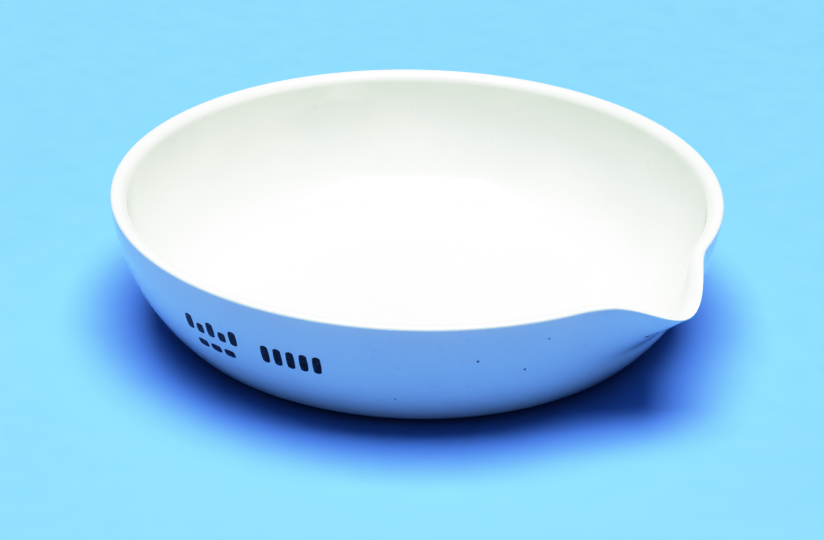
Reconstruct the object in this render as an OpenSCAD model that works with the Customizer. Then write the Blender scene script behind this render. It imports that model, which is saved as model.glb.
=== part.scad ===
// Shallow glazed porcelain evaporating dish with a pour lip. Millimetres, +Z up.
// The origin is the centre of the flat foot's underside and the lip points along +X.

/* [Bowl] */
// Radius over the glazed rim
rim_r = 43; // [40:0.5:50]
// Wall thickness over the glaze
wall_t = 2.2; // [1.8:0.1:2.8]
// Outer radius of the knuckle between the foot and the wall
knuckle_r = 6.5; // [5:0.5:8]
// Slope at which the knuckle runs into the wall, in degrees from level
knuckle_end = 45.5; // [40:0.5:50]
// Outer radius of the wall's curve
wall_r = 27.4; // [24:0.2:30]
// Slope at which the wall runs into the rim's round
wall_end = 85; // [79:0.5:87]
// Radius of the rim's outer edge
edge_r = 0.5; // [0.4:0.05:0.9]
// Radius of the rim's crown, which runs down into the inside
crown_r = 1.6; // [1.5:0.05:2]
// Inner radius between the floor and the wall
fillet_r = 10; // [7:0.5:12]

/* [Lip] */
// How far the lip's tip reaches out past the rim
lip_reach = 5.6; // [3:0.1:6.5]
// How far the lip's tip dips below the rim
lip_dip = 3.3; // [1:0.1:4]
// Half angle that the lip takes up, seen from above
lip_half = 19; // [15:1:22]
// Half angle that the dip takes up
dip_half = 14; // [11:0.5:18]
// Height of wall that bends outwards to form the lip
lip_depth = 11; // [9:0.2:13]
// How strongly the outward bend gathers towards the rim
reach_power = 1.55; // [1.2:0.05:2.2]
// How strongly the dip gathers towards the rim
dip_power = 1.15; // [1:0.05:1.6]

/* [Glaze] */
// Thickness of the fired glaze
glaze_t = 0.25; // [0.15:0.05:0.3]
// Slope on the knuckle where the glaze ends and the bare foot starts
bare_slope = 22; // [20:1:30]

/* [Marks] */
// Height that the fired ink stands above the glaze
ink_t = 0.06; // [0.04:0.01:0.12]
// Depth that the ink sinks into the glaze
ink_sink = 0.08; // [0.06:0.01:0.12]
// Middle of the batch mark, round from the lip
batch_turn = -89; // [-150:0.5:-40]
// Middle of the size mark, round from the lip
size_turn = -71.5; // [-150:0.5:-40]

/* [Hidden] */

// Steps along each arc of the section
foot_steps = 1;
knuckle_steps = 3;
wall_steps = 6;
edge_steps = 3;
crown_steps = 5;
fillet_steps = 5;
ink_steps = 2;

// Angles round the dish from the lip: close together across the lip, wider elsewhere
lip_steps = 24;
round_steps = 56;
turns = concat(
    [for (i = [0:lip_steps - 1]) lip_half * (2 * i / lip_steps - 1)],
    [for (i = [0:round_steps - 1]) lip_half + (360 - 2 * lip_half) * i / round_steps]);
mark_fn = 96;

// Outward direction on the section at a slope
function out(slope) = [sin(slope), -cos(slope)];
function arc(c, r, from, to, steps) =
    [for (i = [0:steps]) c + r * out(from + (to - from) * i / steps)];
function tail(list) = [for (i = [1:len(list) - 1]) list[i]];
function reversed(list) = [for (i = [len(list) - 1:-1:0]) list[i]];

// Slope at which the inner wall runs into the rim's crown, found so that the crown and the
// edge run into each other too
edge_offset = wall_r - edge_r;
crown_offset = wall_r - wall_t + crown_r;
crown_slope = wall_end - acos((pow(edge_offset, 2) + pow(crown_offset, 2)
    - pow(crown_r - edge_r, 2)) / (2 * edge_offset * crown_offset));

// Centres of the section's arcs, set so that the rim's widest point is at rim_r
foot_r = rim_r - edge_r - (knuckle_r - wall_r) * sin(knuckle_end)
    - edge_offset * sin(wall_end);
knuckle_c = [foot_r, knuckle_r - glaze_t];
wall_c = knuckle_c + (knuckle_r - wall_r) * out(knuckle_end);
edge_c = wall_c + edge_offset * out(wall_end);
crown_c = wall_c + crown_offset * out(crown_slope);
floor_z = knuckle_c[1] - knuckle_r + wall_t;

// Slope at which the edge and the crown meet, and the rim's highest point
meet = 180 - atan((edge_c[0] - crown_c[0]) / (edge_c[1] - crown_c[1]));
rim_z = meet < 180 ? crown_c[1] + crown_r : edge_c[1] + edge_r;

// The inner fillet, which runs into the floor and the inner wall
fillet_offset = wall_r - wall_t - fillet_r;
fillet_slope = acos((wall_c[1] - floor_z - fillet_r) / fillet_offset);
fillet_c = wall_c + fillet_offset * out(fillet_slope);

// The glazed skin's line, d below the surface: up the outside from the bare foot,
// over the rim and down the inside to the middle of the floor
function skin(d) = concat(
    arc(knuckle_c, knuckle_r - d, bare_slope, knuckle_end, knuckle_steps),
    tail(arc(wall_c, wall_r - d, knuckle_end, wall_end, wall_steps)),
    tail(arc(edge_c, edge_r - d, wall_end, meet, edge_steps)),
    tail(arc(crown_c, crown_r - d, meet, crown_slope + 180, crown_steps)),
    tail(arc(wall_c, wall_r - wall_t + d, crown_slope, fillet_slope, wall_steps)),
    tail(arc(fillet_c, fillet_r + d, fillet_slope, 0, fillet_steps)),
    [[0, floor_z - d]]);

// Closed outlines that start and end on the axis
body_loop = concat([[0, 0]],
    reversed(tail(arc(knuckle_c, knuckle_r - glaze_t, bare_slope, 0, foot_steps))),
    skin(glaze_t));
glaze_loop = concat(reversed(skin(glaze_t)), skin(0));

// How much of the lip's bend is felt at an angle from its middle, and at a height
function swell(turn, half) = abs(turn) < half ? pow(cos(90 * turn / half), 2) : 0;
function gather(z, power) = pow(max(0, 1 - (rim_z - z) / lip_depth), power);

// A point of the section carried to an angle from the lip, with the lip pressed in
function formed(p, turn) =
    [p[0] * cos(turn) + lip_reach * swell(turn, lip_half) * gather(p[1], reach_power),
     p[0] * sin(turn),
     p[1] - lip_dip * swell(turn, dip_half) * gather(p[1], dip_power)];

// An outline carried right round the dish; its first and last points lie on the axis
module dish_shell(outline) {
    last = len(outline) - 1;
    width = last - 1;
    rings = len(turns);
    // Point numbers: the two on the axis come first, then each ring's
    function id(ring, i) = 2 + (ring % rings) * width + i - 1;
    points = concat(
        [[0, 0, outline[0][1]], [0, 0, outline[last][1]]],
        [for (turn = turns, i = [1:width]) formed(outline[i], turn)]);
    walls = [for (ring = [0:rings - 1], i = [1:width - 1])
        [id(ring, i), id(ring, i + 1), id(ring + 1, i + 1), id(ring + 1, i)]];
    below = [for (ring = [0:rings - 1]) [0, id(ring, 1), id(ring + 1, 1)]];
    above = [for (ring = [0:rings - 1]) [1, id(ring + 1, width), id(ring, width)]];
    polyhedron(points, concat(walls, below, above));
}

// One stroke of ink on the outside of the wall, between two heights, sunk a little
// into the glaze
module stroke(turn, width, low, high) {
    function slope(z) = acos((wall_c[1] - z) / wall_r);
    rotate([0, 0, turn - width / 2])
        rotate_extrude(angle = width, $fn = mark_fn)
            polygon(concat(
                arc(wall_c, wall_r - ink_sink, slope(low), slope(high), ink_steps),
                arc(wall_c, wall_r + ink_t, slope(high), slope(low), ink_steps)));
}

// The fired porcelain under the glaze, bare on the foot
module porcelain_body() {
    color("whitesmoke") dish_shell(body_loop);
}

// The clear glaze over the inside, the rim, the lip and the outside wall
module glaze_coat() {
    color("white") dish_shell(glaze_loop);
}

// Two rows of plain strokes on the wall: [turn from the mark's middle, width, low, high]
module batch_mark() {
    upper = [for (i = [-2:2]) [2.7 * i, 1.9, 11, i % 2 == 0 ? 13.6 : 12.7]];
    lower = [for (i = [-1:1]) [3.4 * i, 2.8, 8.5, 9.8]];
    color("black") for (s = concat(upper, lower)) stroke(batch_turn + s[0], s[1], s[2], s[3]);
}

// A row of upright strokes on the wall
module size_mark() {
    color("black") for (i = [-2:2])
        stroke(size_turn + 2.6 * i, 1.8, 9.8, 13);
}

porcelain_body();
glaze_coat();
batch_mark();
size_mark();
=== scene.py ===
"""A shallow glazed porcelain evaporating dish with a pour lip, laid out as a Blender add-on.

Lengths are metres and angles are radians. The dish stands on Z = 0 with the middle of its
foot at the origin, and its lip points along +X.
"""

import math

import bpy
from mathutils import Matrix, Vector


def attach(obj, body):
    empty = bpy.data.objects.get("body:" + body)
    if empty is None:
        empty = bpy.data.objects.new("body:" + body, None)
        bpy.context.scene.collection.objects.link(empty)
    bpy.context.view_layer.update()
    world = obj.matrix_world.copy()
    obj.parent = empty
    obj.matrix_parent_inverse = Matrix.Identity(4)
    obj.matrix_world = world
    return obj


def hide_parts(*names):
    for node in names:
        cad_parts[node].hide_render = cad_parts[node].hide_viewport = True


bl_info = {
    "name": "Porcelain evaporating dish",
    "version": (1, 0, 0),
    "blender": (4, 5, 0),
    "location": "3D View > Sidebar > Dish",
    "description": "Makes a glazed porcelain evaporating dish with a pour lip",
    "category": "Add Mesh",
}

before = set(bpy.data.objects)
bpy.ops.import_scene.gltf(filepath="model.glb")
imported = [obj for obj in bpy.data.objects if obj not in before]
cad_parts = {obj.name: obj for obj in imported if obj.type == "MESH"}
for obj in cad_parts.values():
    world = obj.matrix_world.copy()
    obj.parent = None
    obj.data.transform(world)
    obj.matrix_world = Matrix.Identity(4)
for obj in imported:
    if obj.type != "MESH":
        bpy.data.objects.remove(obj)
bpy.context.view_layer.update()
BODY = "root"

MM = 0.001
FULL_TURN = 2 * math.pi

# How finely the section's arcs and the round are divided.
ROUND_STEPS = 288
KNUCKLE_STEPS = 10
WALL_STEPS = 22
EDGE_STEPS = 10
CROWN_STEPS = 18
COAT_EDGE_STEPS = 6
FILLET_STEPS = 14
FLOOR_RINGS = 6

# Points closer together than this are merged, and edges flatter than this are shaded smooth.
MERGE_GAP = 0.001 * MM
SMOOTH_ANGLE = math.radians(50)


# Settings ------------------------------------------------------------------------------


class DishSizes(bpy.types.PropertyGroup):
    """Sizes of the bowl's section, of the lip and of the glaze"""

    rim_radius: bpy.props.FloatProperty(
        name="Rim radius", description="Radius over the glazed rim",
        default=43 * MM, min=0, unit="LENGTH", precision=5)
    wall: bpy.props.FloatProperty(
        name="Wall", description="Thickness of the wall over its glaze",
        default=2.2 * MM, min=0, unit="LENGTH", precision=5)
    knuckle_radius: bpy.props.FloatProperty(
        name="Knuckle radius", description="Outer radius between the foot and the wall",
        default=6.5 * MM, min=0, unit="LENGTH", precision=5)
    knuckle_slope: bpy.props.FloatProperty(
        name="Knuckle slope", description="Slope at which the knuckle runs into the wall",
        default=math.radians(45.5), subtype="ANGLE")
    wall_radius: bpy.props.FloatProperty(
        name="Wall radius", description="Outer radius of the wall's curve",
        default=27.4 * MM, min=0, unit="LENGTH", precision=5)
    wall_slope: bpy.props.FloatProperty(
        name="Wall slope", description="Slope at which the wall runs into the rim",
        default=math.radians(85), subtype="ANGLE")
    edge_radius: bpy.props.FloatProperty(
        name="Edge radius", description="Radius of the rim's outer edge",
        default=0.5 * MM, min=0, unit="LENGTH", precision=5)
    crown_radius: bpy.props.FloatProperty(
        name="Crown radius", description="Radius of the rim's crown, which runs down inside",
        default=1.6 * MM, min=0, unit="LENGTH", precision=5)
    fillet_radius: bpy.props.FloatProperty(
        name="Fillet radius", description="Inner radius between the floor and the wall",
        default=10 * MM, min=0, unit="LENGTH", precision=5)
    glaze: bpy.props.FloatProperty(
        name="Glaze", description="Thickness of the fired glaze",
        default=0.25 * MM, min=0, unit="LENGTH", precision=5)
    bare_slope: bpy.props.FloatProperty(
        name="Bare slope", description="Slope on the knuckle where the glaze ends",
        default=math.radians(22), subtype="ANGLE")
    lip_reach: bpy.props.FloatProperty(
        name="Lip reach", description="How far the lip's tip reaches past the rim",
        default=5.6 * MM, min=0, unit="LENGTH", precision=5)
    lip_dip: bpy.props.FloatProperty(
        name="Lip dip", description="How far the lip's tip dips below the rim",
        default=3.3 * MM, min=0, unit="LENGTH", precision=5)
    lip_half: bpy.props.FloatProperty(
        name="Lip half angle", description="Half angle that the lip takes up",
        default=math.radians(19), subtype="ANGLE")
    dip_half: bpy.props.FloatProperty(
        name="Dip half angle", description="Half angle that the lip's dip takes up",
        default=math.radians(14), subtype="ANGLE")
    lip_depth: bpy.props.FloatProperty(
        name="Lip depth", description="Height of wall that bends to form the lip",
        default=11 * MM, min=0, unit="LENGTH", precision=5)
    reach_power: bpy.props.FloatProperty(
        name="Reach power", description="How strongly the bend gathers towards the rim",
        default=1.55, min=1)
    dip_power: bpy.props.FloatProperty(
        name="Dip power", description="How strongly the dip gathers towards the rim",
        default=1.15, min=1)


class MarkSizes(bpy.types.PropertyGroup):
    """Sizes and places of the two fired marks"""

    batch_turn: bpy.props.FloatProperty(
        name="Batch mark", description="Middle of the batch mark, round from the lip",
        default=math.radians(-89), subtype="ANGLE")
    size_turn: bpy.props.FloatProperty(
        name="Size mark", description="Middle of the size mark, round from the lip",
        default=math.radians(-71.5), subtype="ANGLE")
    ink_sink: bpy.props.FloatProperty(
        name="Ink sink", description="Depth that the ink sinks into the glaze",
        default=0.08 * MM, min=0, unit="LENGTH", precision=5)
    ink_height: bpy.props.FloatProperty(
        name="Ink height", description="Height that the ink stands above the glaze",
        default=0.04 * MM, min=0, unit="LENGTH", precision=5)


class DishColours(bpy.types.PropertyGroup):
    """Colours of the glaze, the bare porcelain, the ink and the floor"""

    glaze: bpy.props.FloatVectorProperty(
        name="Glaze", description="Main colour of the glazed porcelain",
        default=(0.835, 0.875, 0.815), size=3, min=0, max=1, subtype="COLOR")
    glaze_shade: bpy.props.FloatVectorProperty(
        name="Glaze shade", description="Colour where the glaze lies thicker",
        default=(0.77, 0.82, 0.77), size=3, min=0, max=1, subtype="COLOR")
    # Also the colour of the painted shade in the crease under the lip.
    speck_and_crease_shade: bpy.props.FloatVectorProperty(
        name="Speck", description="Colour of the iron specks under the glaze",
        default=(0.09, 0.075, 0.06), size=3, min=0, max=1, subtype="COLOR")
    bisque: bpy.props.FloatVectorProperty(
        name="Bisque", description="Colour of the bare fired porcelain",
        default=(0.80, 0.78, 0.73), size=3, min=0, max=1, subtype="COLOR")
    bisque_grime: bpy.props.FloatVectorProperty(
        name="Bisque grime", description="Colour where the bare foot is rubbed and dirty",
        default=(0.56, 0.53, 0.48), size=3, min=0, max=1, subtype="COLOR")
    ink: bpy.props.FloatVectorProperty(
        name="Ink", description="Colour of the fired ink",
        default=(0.010, 0.013, 0.024), size=3, min=0, max=1, subtype="COLOR")
    ink_thin: bpy.props.FloatVectorProperty(
        name="Thin ink", description="Colour where the ink went on thinly",
        default=(0.045, 0.06, 0.10), size=3, min=0, max=1, subtype="COLOR")
    floor: bpy.props.FloatVectorProperty(
        name="Floor", description="Colour of the pale floor",
        default=(0.195, 0.40, 0.85), size=3, min=0, max=1, subtype="COLOR")


class StageSettings(bpy.types.PropertyGroup):
    """Place of the camera and strength of the lights"""

    azimuth: bpy.props.FloatProperty(
        name="Azimuth", description="Direction that the camera looks from",
        default=math.radians(41.4), subtype="ANGLE")
    elevation: bpy.props.FloatProperty(
        name="Elevation", description="Height of the camera as an angle",
        default=math.radians(24.9), subtype="ANGLE")
    distance: bpy.props.FloatProperty(
        name="Distance", description="Distance from the middle of the rim to the camera",
        default=0.432, min=0, unit="LENGTH")
    lens: bpy.props.FloatProperty(
        name="Lens", description="Focal length of the camera in millimetres",
        default=134.2, min=1)
    roll: bpy.props.FloatProperty(
        name="Roll", description="Turn of the camera about its line of sight",
        default=math.radians(1.21), subtype="ANGLE")
    tilt: bpy.props.FloatProperty(
        name="Tilt", description="How far the camera looks below the rim's middle",
        default=math.radians(1.55), subtype="ANGLE")
    pan: bpy.props.FloatProperty(
        name="Pan", description="How far the camera looks left of the rim's middle",
        default=math.radians(0.10), subtype="ANGLE")
    key: bpy.props.FloatProperty(
        name="Key light", description="Power of the soft light overhead in watts",
        default=850, min=0, unit="POWER")
    fill: bpy.props.FloatProperty(
        name="Fill light", description="Power of the soft light below the camera in watts",
        default=18, min=0, unit="POWER")
    sky: bpy.props.FloatProperty(
        name="Sky", description="Strength of the even light from all round",
        default=0.08, min=0)
    backdrop: bpy.props.FloatProperty(
        name="Backdrop", description="Strength that makes the backdrop match the lit floor",
        default=1.9, min=0)


# The section -----------------------------------------------------------------------------


def outward(slope):
    """Outward direction on the section, as (radius, height), at a slope from level."""
    return Vector((math.sin(slope), -math.cos(slope)))


def arc(centre, radius, start, end, steps):
    """Points of an arc of the section, both ends included."""
    slopes = [start + (end - start) * i / steps for i in range(steps + 1)]
    return [centre + radius * outward(slope) for slope in slopes]


def disc(radius, height):
    """Points of a flat disc from the axis outwards, without its edge."""
    return [Vector((radius * ring / FLOOR_RINGS, height)) for ring in range(FLOOR_RINGS)]


class Section:
    """The dish's section: where its arcs are centred, and the outlines made of them."""

    def __init__(self, s):
        self.s = s
        # How far the other arcs' centres lie from the centre of the wall's curve.
        knuckle = s.knuckle_radius - s.wall_radius
        edge = s.wall_radius - s.edge_radius
        crown = s.wall_radius - s.wall + s.crown_radius
        fillet = s.wall_radius - s.wall - s.fillet_radius

        # The foot's radius is set so that the rim's widest point is at the rim's radius.
        foot = s.rim_radius - s.edge_radius - knuckle * math.sin(s.knuckle_slope)
        foot -= edge * math.sin(s.wall_slope)
        self.knuckle = Vector((foot, s.knuckle_radius - s.glaze))
        self.wall = self.knuckle + knuckle * outward(s.knuckle_slope)
        self.edge = self.wall + edge * outward(s.wall_slope)

        # The crown is turned until it runs into the edge.
        gap = s.crown_radius - s.edge_radius
        turn = math.acos((edge ** 2 + crown ** 2 - gap ** 2) / (2 * edge * crown))
        self.crown_slope = s.wall_slope - turn
        self.crown = self.wall + crown * outward(self.crown_slope)
        across, up = self.edge - self.crown
        self.meet = math.pi - math.atan(across / up)
        self.rim_top = self.crown.y + s.crown_radius

        self.floor = s.wall - s.glaze
        rise = self.wall.y - self.floor - s.fillet_radius
        self.fillet_slope = math.acos(rise / fillet)
        self.fillet = self.wall + fillet * outward(self.fillet_slope)

    def skin(self, depth):
        """From the glaze's lower edge up the outside, over the rim and in to the axis."""
        s = self.s
        inside = s.wall_radius - s.wall + depth
        join = self.fillet_slope
        over = self.crown_slope + math.pi
        points = arc(self.knuckle, s.knuckle_radius - depth,
                     s.bare_slope, s.knuckle_slope, KNUCKLE_STEPS)
        points += arc(self.wall, s.wall_radius - depth,
                      s.knuckle_slope, s.wall_slope, WALL_STEPS)[1:]
        points += arc(self.edge, s.edge_radius - depth,
                      s.wall_slope, self.meet, EDGE_STEPS)[1:]
        points += arc(self.crown, s.crown_radius - depth, self.meet, over, CROWN_STEPS)[1:]
        points += arc(self.wall, inside, self.crown_slope, join, WALL_STEPS)[1:]
        points += arc(self.fillet, s.fillet_radius + depth, join, 0, FILLET_STEPS)[1:]
        return points + disc(self.fillet.x, self.floor - depth)[::-1]

    def body_outline(self):
        """The porcelain under the glaze, with its bare foot, from the axis to the axis."""
        s = self.s
        bare = arc(self.knuckle, s.knuckle_radius - s.glaze, 0, s.bare_slope, KNUCKLE_STEPS)
        return disc(self.knuckle.x, 0) + bare[:-1] + self.skin(s.glaze)

    def glaze_outline(self):
        """The glaze, with a rounded lower edge, from the axis to the axis."""
        s = self.s
        edge_centre = self.knuckle + (s.knuckle_radius - s.glaze / 2) * outward(s.bare_slope)
        edge = arc(edge_centre, s.glaze / 2, s.bare_slope - math.pi, s.bare_slope,
                   COAT_EDGE_STEPS)
        return self.skin(s.glaze)[::-1] + edge[1:-1] + self.skin(0)

    def swell(self, turn, half):
        """How much of the lip's bend is felt at an angle from its middle."""
        return math.cos(math.pi / 2 * turn / half) ** 2 if abs(turn) < half else 0

    def gather(self, height, power):
        """How much of the lip's bend is felt at a height."""
        return max(0, 1 - (self.rim_top - height) / self.s.lip_depth) ** power

    def wall_slope_at(self, height):
        """Slope of the outside of the wall at a height."""
        return math.acos((self.wall.y - height) / self.s.wall_radius)

    def wall_place(self, turn, height):
        """Place on the outside of the wall, with the lip pressed in."""
        s = self.s
        radius = self.wall.x + s.wall_radius * math.sin(self.wall_slope_at(height))
        out = s.lip_reach * self.swell(turn, s.lip_half) * self.gather(height, s.reach_power)
        down = s.lip_dip * self.swell(turn, s.dip_half) * self.gather(height, s.dip_power)
        return Vector((radius * math.cos(turn) + out, radius * math.sin(turn), height - down))


# Tools for the pieces ---------------------------------------------------------------------


def deselect():
    """Deselects every object."""
    bpy.ops.object.select_all(action="DESELECT")


def select_only(piece):
    """Selects one piece and makes it the active one."""
    deselect()
    piece.select_set(True)
    bpy.context.view_layer.objects.active = piece


def apply_modifiers(piece):
    """Applies every modifier of a piece, in its order."""
    select_only(piece)
    for modifier in list(piece.modifiers):
        bpy.ops.object.modifier_apply(modifier=modifier.name)


def spun_shell(name, outline):
    """An outline drawn point by point in the XZ plane and spun into a closed shell."""
    deselect()
    # A small plane merged to its middle is the point that the outline starts from.
    bpy.ops.mesh.primitive_plane_add(size=MM)
    piece = bpy.context.object
    piece.name = piece.data.name = name
    bpy.ops.object.mode_set(mode="EDIT")
    bpy.ops.mesh.merge(type="CENTER")
    place = Vector((0, 0))
    for point in outline:
        step = point - place
        if point is outline[0]:
            bpy.ops.transform.translate(value=(step.x, 0, step.y))
        else:
            bpy.ops.mesh.extrude_vertices_move(
                TRANSFORM_OT_translate={"value": (step.x, 0, step.y)})
        place = point
    bpy.ops.mesh.select_all(action="SELECT")
    bpy.ops.mesh.spin(steps=ROUND_STEPS, angle=FULL_TURN, center=(0, 0, 0), axis=(0, 0, 1))
    bpy.ops.mesh.select_all(action="SELECT")
    bpy.ops.mesh.remove_doubles(threshold=MERGE_GAP)
    bpy.ops.mesh.normals_make_consistent(inside=False)
    bpy.ops.object.mode_set(mode="OBJECT")
    return piece


def press_lip(piece, section):
    """Presses the pour lip out along X and down, by two weighted displacements."""
    s = section.s
    pushes = (
        ("lip_reach", "X", s.lip_reach, s.lip_half, s.reach_power),
        ("lip_dip", "Z", -s.lip_dip, s.dip_half, s.dip_power),
    )
    for name, direction, strength, half, power in pushes:
        group = piece.vertex_groups.new(name=name)
        for vertex in piece.data.vertices:
            turn = math.atan2(vertex.co.y, vertex.co.x)
            weight = section.swell(turn, half) * section.gather(vertex.co.z, power)
            if weight > 0:
                group.add([vertex.index], weight, "REPLACE")
        push = piece.modifiers.new(name, "DISPLACE")
        push.direction = direction
        push.strength = strength
        push.mid_level = 0
        push.vertex_group = name
    apply_modifiers(piece)
    piece.vertex_groups.clear()


def finish_piece(piece, material, slot, *nodes):
    """Smooths a piece, gives it its material and ties it to the frame."""
    select_only(piece)
    bpy.ops.object.shade_smooth_by_angle(angle=SMOOTH_ANGLE)
    piece.data.materials.clear()
    piece.data.materials.append(material)
    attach(piece, BODY)
    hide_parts(*nodes)


# Materials --------------------------------------------------------------------------------


class Finish:
    """A material under construction: its nodes, its shader and its coordinates."""

    def __init__(self, name):
        self.material = bpy.data.materials.new(name)
        self.material.use_nodes = True
        self.tree = self.material.node_tree
        self.shader = self.tree.nodes["Principled BSDF"]
        self.place = self.tree.nodes.new("ShaderNodeTexCoord").outputs["Object"]

    def node(self, kind, inputs=None, **settings):
        """A new node with its settings, and its inputs linked or set."""
        node = self.tree.nodes.new("ShaderNode" + kind)
        for key, value in settings.items():
            setattr(node, key, value)
        for key, value in (inputs or {}).items():
            self.feed(node.inputs[key], value)
        return node

    def feed(self, socket, value):
        """Links a socket to another node's output, or sets it."""
        if isinstance(value, bpy.types.NodeSocket):
            self.tree.links.new(value, socket)
        else:
            socket.default_value = value

    def noise(self, scale, detail=2.0, roughness=0.5):
        """Even three-dimensional noise, scale in features a metre."""
        node = self.node("TexNoise", {"Vector": self.place, "Scale": scale,
                                      "Detail": detail, "Roughness": roughness})
        return node.outputs["Fac"]

    def span(self, value, low, high, to_low=0.0, to_high=1.0):
        """A value taken smoothly from one range to another."""
        node = self.node("MapRange", {"Value": value, "From Min": low, "From Max": high,
                                      "To Min": to_low, "To Max": to_high},
                         interpolation_type="SMOOTHSTEP")
        return node.outputs["Result"]

    def maths(self, operation, a, b):
        """Two values put together."""
        node = self.node("Math", operation=operation)
        self.feed(node.inputs[0], a)
        self.feed(node.inputs[1], b)
        return node.outputs["Value"]

    def blend(self, share, a, b):
        """A colour between two others."""
        node = self.node("Mix", data_type="RGBA")
        self.feed(node.inputs["Factor"], share)
        for key, value in (("A", a), ("B", b)):
            socket = next(s for s in node.inputs if s.name == key and s.type == "RGBA")
            linked = isinstance(value, bpy.types.NodeSocket)
            self.feed(socket, value if linked else (*value, 1))
        return next(s for s in node.outputs if s.type == "RGBA")

    def bump(self, height, strength, distance, before=None):
        """A bump of a real height, laid over an earlier one."""
        inputs = {"Height": height, "Strength": strength, "Distance": distance}
        if before is not None:
            inputs["Normal"] = before
        return self.node("Bump", inputs).outputs["Normal"]

    def set(self, **inputs):
        """Sets or links the shader's inputs, named with underscores for spaces."""
        for key, value in inputs.items():
            self.feed(self.shader.inputs[key.replace("_", " ")], value)
        return self.material


# The share of a speck's radius within which it is at its full strength, first for the stray
# specks, then for the wall's specks and the painted shade in the crease under the lip.
SPECK_CORE = 0.6
WALL_SPECK_AND_SHADE_CORE = 0.5

# How strongly the specks and the painted shade in the crease under the lip hide the glaze's
# colour, and how much paler the floor's pale patches are than its colour.
SPECK_AND_SHADE_STRENGTH = 0.85
FLOOR_MOTTLE = 1.03


def specks(finish, scale, radius, share):
    """Sparse round specks, scale in cells a metre and radius in cells: 1 inside, else 0."""
    cells = finish.node("TexVoronoi", {"Vector": finish.place, "Scale": scale})
    near = finish.span(cells.outputs["Distance"], radius, radius * SPECK_CORE)
    pick = finish.node("SeparateColor", {"Color": cells.outputs["Color"]}).outputs["Red"]
    chosen = finish.maths("LESS_THAN", pick, share)
    return finish.maths("MULTIPLY", near, chosen)


# Dark spots on the outside of the wall: (turn from the lip in degrees, height and
# radius in millimetres). The first eight are specks; the last three are painted shade in the
# crease under the lip.
WALL_SPECKS_AND_CREASE_SHADE = (
    (-37.2, 13.5, 0.25), (-28, 11.1, 0.24), (-24.3, 15.8, 0.17), (-52, 6.4, 0.16),
    (121, 9.1, 0.25), (164, 13.2, 0.18), (-143, 7.5, 0.20), (76, 14.4, 0.16),
    (-3.9, 13.5, 0.48), (-3.3, 14, 0.45), (-2.8, 14.5, 0.40),
)


def wall_specks_and_crease_shade(finish, section):
    """The chosen specks and the painted crease shade on the wall: 1 inside a spot and 0
    elsewhere.
    """
    total = 0.0
    for turn, height, radius in WALL_SPECKS_AND_CREASE_SHADE:
        place = section.wall_place(math.radians(turn), height * MM)
        node = finish.node("VectorMath", operation="DISTANCE")
        finish.feed(node.inputs[0], finish.place)
        finish.feed(node.inputs[1], place)
        near = finish.span(node.outputs["Value"], radius * MM,
                           radius * MM * WALL_SPECK_AND_SHADE_CORE)
        total = finish.maths("MAXIMUM", near, total)
    return total


def glaze_material(colours, section):
    """Clear gloss over white porcelain, with a soft ripple, a few iron specks and painted
    shade in the crease under the lip.
    """
    f = Finish("glazed_porcelain")
    broad = f.span(f.noise(38, detail=3), 0.38, 0.66)
    colour = f.blend(broad, colours.glaze, colours.glaze_shade)
    fine = f.span(f.noise(900), 0.62, 0.78, to_high=0.05)
    colour = f.blend(fine, colour, colours.speck_and_crease_shade)
    stray = specks(f, scale=95, radius=0.024, share=0.020)
    # The stray specks, the wall's specks and the painted shade in the crease under the lip
    # darken the glaze's colour.
    specks_and_crease_shade = f.maths("MAXIMUM", stray, wall_specks_and_crease_shade(f, section))
    colour = f.blend(f.maths("MULTIPLY", specks_and_crease_shade, SPECK_AND_SHADE_STRENGTH), colour, colours.speck_and_crease_shade)
    pits = specks(f, scale=420, radius=0.07, share=0.012)
    normal = f.bump(f.noise(130, detail=1), strength=0.5, distance=0.06 * MM)
    normal = f.bump(f.noise(1100), strength=0.35, distance=0.008 * MM, before=normal)
    normal = f.bump(pits, strength=-0.5, distance=0.03 * MM, before=normal)
    rough = f.span(f.noise(60, detail=4), 0.35, 0.7, to_low=0.10, to_high=0.19)
    rough = f.maths("ADD", rough, f.maths("MULTIPLY", pits, 0.2))
    return f.set(Base_Color=colour, Roughness=rough, Normal=normal, IOR=1.5,
                 Coat_Weight=0.35, Coat_Roughness=0.05)


def bisque_material(colours):
    """Dry, fine-grained fired porcelain, rubbed grey where it stands on the bench."""
    f = Finish("bare_porcelain")
    grime = f.span(f.noise(140, detail=5, roughness=0.6), 0.45, 0.72)
    colour = f.blend(f.maths("MULTIPLY", grime, 0.55), colours.bisque, colours.bisque_grime)
    grains = specks(f, scale=700, radius=0.16, share=0.10)
    colour = f.blend(f.maths("MULTIPLY", grains, 0.4), colour, colours.bisque_grime)
    grit = f.noise(2600, detail=3, roughness=0.65)
    normal = f.bump(grit, strength=0.6, distance=0.03 * MM)
    normal = f.bump(f.noise(420), strength=0.4, distance=0.04 * MM, before=normal)
    rough = f.span(f.noise(300, detail=3), 0.3, 0.7, to_low=0.62, to_high=0.85)
    return f.set(Base_Color=colour, Roughness=rough, Normal=normal)


def ink_material(colours):
    """Dark ceramic ink, uneven where the stamp pressed lightly."""
    f = Finish("fired_ink")
    thin = f.span(f.noise(1700, detail=4, roughness=0.7), 0.46, 0.66)
    colour = f.blend(thin, colours.ink, colours.ink_thin)
    normal = f.bump(f.noise(2400, detail=3), strength=0.5, distance=0.02 * MM)
    rough = f.span(f.noise(1200), 0.3, 0.7, to_low=0.22, to_high=0.42)
    return f.set(Base_Color=colour, Roughness=rough, Normal=normal,
                 Specular_IOR_Level=0.3, Coat_Weight=0.1, Coat_Roughness=0.08)


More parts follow.
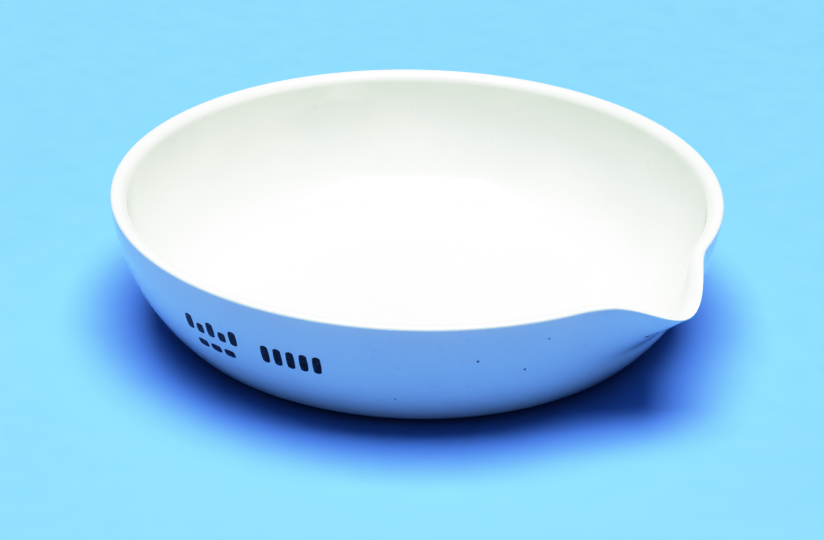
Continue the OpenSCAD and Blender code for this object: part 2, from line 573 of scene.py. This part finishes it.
def floor_material(colours):
    """Smooth matt card."""
    f = Finish("pale_card")
    tint = f.span(f.noise(9, detail=3), 0.3, 0.7)
    paler = [min(1, channel * FLOOR_MOTTLE) for channel in colours.floor]
    colour = f.blend(tint, colours.floor, paler)
    normal = f.bump(f.noise(900, detail=3), strength=0.25, distance=0.03 * MM)
    rough = f.span(f.noise(200), 0.3, 0.7, to_low=0.55, to_high=0.65)
    return f.set(Base_Color=colour, Roughness=rough, Normal=normal)


# The marks' strokes -----------------------------------------------------------------------

# Each stroke is (turn from the mark's middle in degrees, width in degrees, low, high),
# with its two heights above the foot in millimetres.
BATCH_STROKES = (
    [(2.7 * i, 1.9, 11, 13.6 if i % 2 == 0 else 12.7) for i in range(-2, 3)]
    + [(3.4 * i, 2.8, 8.5, 9.8) for i in range(-1, 2)]
)
SIZE_STROKES = [(2.6 * i, 1.8, 9.8, 13) for i in range(-2, 3)]

# How finely a stroke's grid is divided, and how far its outline is rounded towards an oval.
STROKE_ROWS = 17
STROKE_COLUMNS = 9
STROKE_ROUND = 0.55


def ink_stroke(section, sizes, wall, turn, width, low, high):
    """One rounded stroke of ink, laid against the wall and given its thickness."""
    s = section.s
    slopes = [section.wall_slope_at(height) for height in (low, high)]
    slope = sum(slopes) / 2
    middle = section.wall + s.wall_radius * outward(slope)
    length = s.wall_radius * (slopes[1] - slopes[0])
    deselect()
    # The grid reaches 1 either side of its middle, so it is sized by halves.
    bpy.ops.mesh.primitive_grid_add(
        x_subdivisions=STROKE_COLUMNS, y_subdivisions=STROKE_ROWS, size=2)
    stroke = bpy.context.object
    bpy.ops.object.mode_set(mode="EDIT")
    bpy.ops.transform.tosphere(value=STROKE_ROUND)
    bpy.ops.transform.resize(value=(middle.x * width / 2, length / 2, 1))
    bpy.ops.object.mode_set(mode="OBJECT")
    # The grid's X runs round the wall, its Y up the wall and its Z out of the wall.
    upright = Matrix.Rotation(math.pi - slope, 4, "X")
    facing = Matrix.Rotation(turn + math.pi / 2, 4, "Z")
    place = Vector((middle.x * math.cos(turn), middle.x * math.sin(turn), middle.y))
    stroke.data.transform(Matrix.Translation(place) @ facing @ upright)
    wrap = stroke.modifiers.new("wrap", "SHRINKWRAP")
    wrap.target = wall
    wrap.wrap_method = "NEAREST_SURFACEPOINT"
    wrap.wrap_mode = "ON_SURFACE"
    body = stroke.modifiers.new("thickness", "SOLIDIFY")
    body.thickness = sizes.ink_sink + sizes.ink_height
    body.offset = (sizes.ink_height - sizes.ink_sink) / body.thickness
    apply_modifiers(stroke)
    return stroke


def ink_mark(name, section, sizes, wall, middle, strokes):
    """A whole mark: its strokes joined into one piece."""
    made = []
    for turn, width, low, high in strokes:
        made.append(ink_stroke(section, sizes, wall, middle + math.radians(turn),
                               math.radians(width), low * MM, high * MM))
    select_only(made[0])
    for stroke in made:
        stroke.select_set(True)
    bpy.ops.object.join()
    made[0].name = made[0].data.name = name
    return made[0]


# Operators --------------------------------------------------------------------------------


class DISH_OT_body(bpy.types.Operator):
    """Makes the fired porcelain body with its bare foot"""

    bl_idname = "dish.body"
    bl_label = "Porcelain body"

    def execute(self, context):
        section = Section(context.scene.dish_sizes)
        piece = spun_shell("fired_body", section.body_outline())
        press_lip(piece, section)
        finish_piece(piece, bisque_material(context.scene.dish_colours),
                     "porcelain", "porcelain_body")
        return {"FINISHED"}


class DISH_OT_glaze(bpy.types.Operator):
    """Makes the glossy glaze over the inside, the rim, the lip and the wall"""

    bl_idname = "dish.glaze"
    bl_label = "Glaze"

    def execute(self, context):
        section = Section(context.scene.dish_sizes)
        piece = spun_shell("glaze_skin", section.glaze_outline())
        press_lip(piece, section)
        finish_piece(piece, glaze_material(context.scene.dish_colours, section),
                     "glaze", "glaze_coat")
        return {"FINISHED"}


class DISH_OT_marks(bpy.types.Operator):
    """Makes the two plain marks in fired ink on the outside of the wall"""

    bl_idname = "dish.marks"
    bl_label = "Fired marks"

    def execute(self, context):
        section = Section(context.scene.dish_sizes)
        sizes = context.scene.dish_marks
        wall = bpy.data.objects["glaze_skin"]
        material = ink_material(context.scene.dish_colours)
        batch = ink_mark("batch_stamp", section, sizes, wall, sizes.batch_turn, BATCH_STROKES)
        finish_piece(batch, material, "ink", "batch_mark")
        size = ink_mark("size_stamp", section, sizes, wall, sizes.size_turn, SIZE_STROKES)
        finish_piece(size, material, "ink", "size_mark")
        return {"FINISHED"}


# The floor's width and how far it lies below the foot, in metres.
FLOOR_WIDTH = 60
FLOOR_GAP = 0.02 * MM

# Each soft light's width, its height over the floor and how far it lies beyond the dish as the
# camera sees it, in metres.
KEY_WIDTH, KEY_HEIGHT, KEY_BEYOND = 5, 6, 0.2
FILL_WIDTH, FILL_HEIGHT, FILL_BEYOND = 3.5, 1.8, -5.5

SKY_COLOUR = (0.95, 0.97, 1)
NEAREST_SEEN = 10 * MM

# The tone curve: the power that deepens the darks, the brightness at which the lights start
# to roll off, and the levels of light at which the curve is set.
TONE_POWER = 1.5
TONE_KNEE = 0.6
TONE_LEVELS = (0, 0.02, 0.05, 0.1, 0.18, 0.3, 0.45, 0.6, 0.75, 0.95, 1.25, 1.7, 2.4)


def tone(level):
    """The brightness shown for a level of light."""
    shown = level ** TONE_POWER
    room = 1 - TONE_KNEE
    return shown if shown < TONE_KNEE else 1 - room * math.exp((TONE_KNEE - shown) / room)


class DISH_OT_stage(bpy.types.Operator):
    """Sets the pale floor, the soft lights and the camera"""

    bl_idname = "dish.stage"
    bl_label = "Stage"

    def execute(self, context):
        stage = context.scene.dish_stage
        rim_top = Section(context.scene.dish_sizes).rim_top
        self.add_floor(context)
        away = Vector((-math.sin(stage.azimuth), math.cos(stage.azimuth), 0))
        for name, power, width, height, beyond in (
                ("key", stage.key, KEY_WIDTH, KEY_HEIGHT, KEY_BEYOND),
                ("fill", stage.fill, FILL_WIDTH, FILL_HEIGHT, FILL_BEYOND)):
            self.add_light(name, power, width, Vector((0, 0, height)) + beyond * away)
        self.add_sky(context, stage)
        self.set_tones(context.scene.view_settings)
        self.add_camera(context, stage, Vector((0, 0, rim_top)))
        return {"FINISHED"}

    @staticmethod
    def add_floor(context):
        """A plain card, wide enough to reach the horizon."""
        deselect()
        bpy.ops.mesh.primitive_plane_add(size=FLOOR_WIDTH, location=(0, 0, -FLOOR_GAP))
        floor = bpy.context.object
        floor.name = "floor"
        floor.data.materials.append(floor_material(context.scene.dish_colours))

    @staticmethod
    def add_light(name, power, width, place):
        """A square soft light that faces the dish."""
        deselect()
        bpy.ops.object.light_add(type="AREA", location=place)
        light = bpy.context.object
        light.name = name
        light.data.energy = power
        light.data.size = width
        light.visible_camera = False
        light.rotation_euler = place.to_track_quat("Z", "Y").to_euler()

    @staticmethod
    def add_sky(context, stage):
        """Even light from all round, and a pale backdrop past the floor's far edge."""
        world = bpy.data.worlds.new("soft_sky")
        world.use_nodes = True
        tree = world.node_tree
        light = tree.nodes["Background"]
        light.inputs["Color"].default_value = (*SKY_COLOUR, 1)
        light.inputs["Strength"].default_value = stage.sky
        backdrop = tree.nodes.new("ShaderNodeBackground")
        backdrop.inputs["Color"].default_value = (*context.scene.dish_colours.floor, 1)
        backdrop.inputs["Strength"].default_value = stage.backdrop
        seen = tree.nodes.new("ShaderNodeLightPath").outputs["Is Camera Ray"]
        mix = tree.nodes.new("ShaderNodeMixShader")
        tree.links.new(seen, mix.inputs[0])
        tree.links.new(light.outputs[0], mix.inputs[1])
        tree.links.new(backdrop.outputs[0], mix.inputs[2])
        tree.links.new(mix.outputs[0], tree.nodes["World Output"].inputs["Surface"])
        context.scene.world = world

    @staticmethod
    def set_tones(view):
        """Deepens the darks and rolls the lights off softly towards white."""
        view.view_transform = "Standard"
        view.use_curve_mapping = True
        view.curve_mapping.white_level = [TONE_LEVELS[-1]] * 3
        curve = view.curve_mapping.curves[-1]
        for level in TONE_LEVELS[1:-1]:
            curve.points.new(level / TONE_LEVELS[-1], tone(level))
        curve.points[-1].location = (1, tone(TONE_LEVELS[-1]))
        view.curve_mapping.update()

    @staticmethod
    def add_camera(context, stage, target):
        """A camera that looks at the rim's middle, then turns a little off it."""
        turn, rise = stage.azimuth, stage.elevation
        back = Vector((math.sin(turn) * math.cos(rise),
                       -math.cos(turn) * math.cos(rise), math.sin(rise)))
        across = Vector((math.cos(turn), math.sin(turn), 0))
        facing = Matrix((across, back.cross(across), back)).transposed().to_4x4()
        facing = facing @ Matrix.Rotation(stage.roll, 4, "Z")
        facing = facing @ Matrix.Rotation(-stage.tilt, 4, "X")
        facing = facing @ Matrix.Rotation(stage.pan, 4, "Y")
        deselect()
        bpy.ops.object.camera_add()
        camera = bpy.context.object
        camera.matrix_world = Matrix.Translation(target + back * stage.distance) @ facing
        camera.data.lens = stage.lens
        camera.data.clip_start = NEAREST_SEEN
        context.scene.camera = camera


class DISH_PT_panel(bpy.types.Panel):
    """Lists the dish's settings and its operators"""

    bl_idname = "DISH_PT_panel"
    bl_label = "Evaporating dish"
    bl_space_type = "VIEW_3D"
    bl_region_type = "UI"
    bl_category = "Dish"

    def draw(self, context):
        for settings in PROPERTY_GROUPS:
            box = self.layout.box()
            for name in settings.__annotations__:
                box.prop(getattr(context.scene, PROPERTY_GROUPS[settings]), name)
        for operator in OPERATORS:
            self.layout.operator(operator.bl_idname)


PROPERTY_GROUPS = {
    DishSizes: "dish_sizes",
    MarkSizes: "dish_marks",
    DishColours: "dish_colours",
    StageSettings: "dish_stage",
}
OPERATORS = (DISH_OT_body, DISH_OT_glaze, DISH_OT_marks, DISH_OT_stage)


def register():
    """Registers the settings, the operators and the panel."""
    for settings, name in PROPERTY_GROUPS.items():
        bpy.utils.register_class(settings)
        setattr(bpy.types.Scene, name, bpy.props.PointerProperty(type=settings))
    for cls in (*OPERATORS, DISH_PT_panel):
        bpy.utils.register_class(cls)


def unregister():
    """Takes out what register put in."""
    for cls in (DISH_PT_panel, *reversed(OPERATORS)):
        bpy.utils.unregister_class(cls)
    for settings, name in reversed(PROPERTY_GROUPS.items()):
        delattr(bpy.types.Scene, name)
        bpy.utils.unregister_class(settings)


def main():
    """Registers the add-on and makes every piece."""
    register()
    bpy.ops.dish.body()
    bpy.ops.dish.glaze()
    bpy.ops.dish.marks()
    bpy.ops.dish.stage()


if __name__ == "__main__":
    main()
